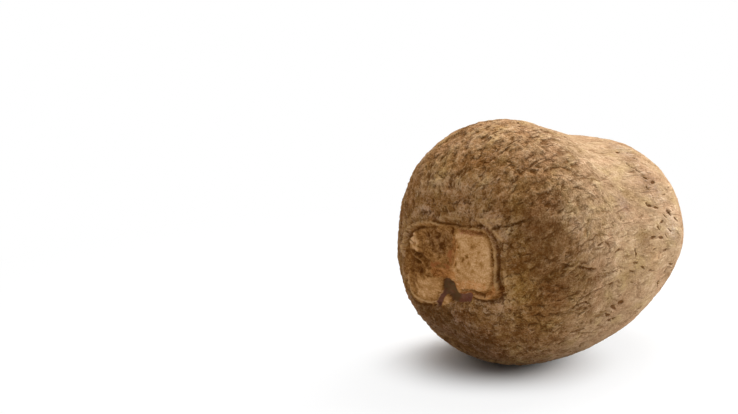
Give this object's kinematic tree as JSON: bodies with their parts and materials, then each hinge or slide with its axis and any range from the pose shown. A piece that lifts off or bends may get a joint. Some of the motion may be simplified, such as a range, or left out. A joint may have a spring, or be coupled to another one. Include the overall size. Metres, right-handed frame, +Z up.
{
  "type": "yam",
  "caption": "Stubby whole yam tuber with corky brown bark and a flattened, ringed stem scar, lying on its side.",
  "frame": {"origin": "on the ground, below the middle of the tuber's bounding box", "axes": "+X along the tuber towards the flattened end with the stem scar, +Z up"},
  "size_m": [0.2032, 0.1418, 0.1444],
  "materials": {
    "skin": "dry, matt, corky bark"
  },
  "bodies": {
    "root": {"yam": "skin"}
  },
  "joints": []
}
